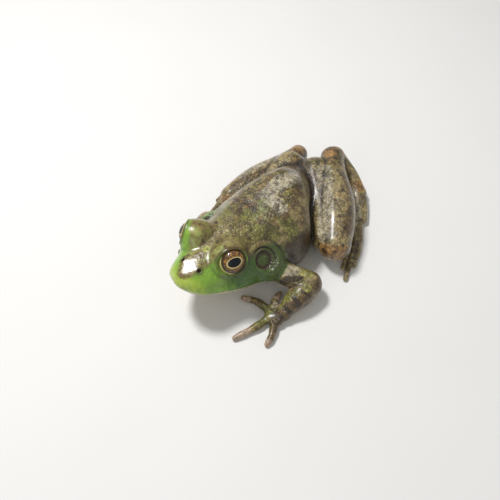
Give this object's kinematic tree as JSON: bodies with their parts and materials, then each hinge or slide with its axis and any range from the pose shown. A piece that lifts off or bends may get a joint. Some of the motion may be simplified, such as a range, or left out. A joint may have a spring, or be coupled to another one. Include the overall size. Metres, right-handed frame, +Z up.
{
  "type": "bullfrog",
  "caption": "Life-size still model of a bullfrog crouched on flat ground with its head raised and its hind legs folded.",
  "frame": {"origin": "on the ground under the belly, on the mid-plane of the head", "axes": "+Z up, head towards -Y, the animal's left side towards +X"},
  "size_m": [0.0758, 0.1082, 0.0333],
  "materials": {
    "skin": "wet, finely granular, green face and brown-mottled back",
    "eye": "polished"
  },
  "bodies": {
    "root": {"head": "skin", "lower_jaw": "skin", "trunk": "skin", "eye_left": "eye", "eye_right": "eye", "eardrum_left": "skin", "eardrum_right": "skin", "upper_arm_left": "skin", "upper_arm_right": "skin", "forearm_left": "skin", "forearm_right": "skin", "hand_left": "skin", "hand_right": "skin", "finger_1_left": "skin", "finger_2_left": "skin", "finger_3_left": "skin", "finger_4_left": "skin", "finger_1_right": "skin", "finger_2_right": "skin", "finger_3_right": "skin", "finger_4_right": "skin", "thigh_left": "skin", "thigh_right": "skin", "shank_left": "skin", "shank_right": "skin", "ankle_left": "skin", "ankle_right": "skin", "foot_left": "skin", "foot_right": "skin", "toe_1_left": "skin", "toe_2_left": "skin", "toe_3_left": "skin", "toe_4_left": "skin", "toe_5_left": "skin", "toe_1_right": "skin", "toe_2_right": "skin", "toe_3_right": "skin", "toe_4_right": "skin", "toe_5_right": "skin"}
  },
  "joints": []
}
